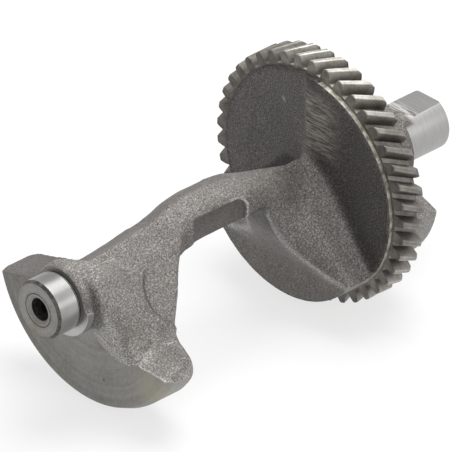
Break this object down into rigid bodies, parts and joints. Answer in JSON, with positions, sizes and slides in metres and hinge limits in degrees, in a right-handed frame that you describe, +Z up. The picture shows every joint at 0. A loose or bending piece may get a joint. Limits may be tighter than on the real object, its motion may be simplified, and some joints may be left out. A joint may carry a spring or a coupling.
{
  "type": "balance shaft",
  "caption": "One-piece cast iron engine balance shaft with turned journals, an arched arm between offset weights and an integral helical gear.",
  "frame": {"origin": "on the shaft's axis, at the middle of the front journal's land", "axes": "+X along the shaft towards the rear journal, +Z up with the weights hanging below the axis, +Y to the far side of the casting's parting plane"},
  "size_m": [0.1719, 0.0872, 0.0872],
  "materials": {
    "cast_iron": "rough as cast, with turned journals and faces and hobbed teeth"
  },
  "bodies": {
    "root": {"balance_shaft": "cast_iron"}
  },
  "joints": []
}
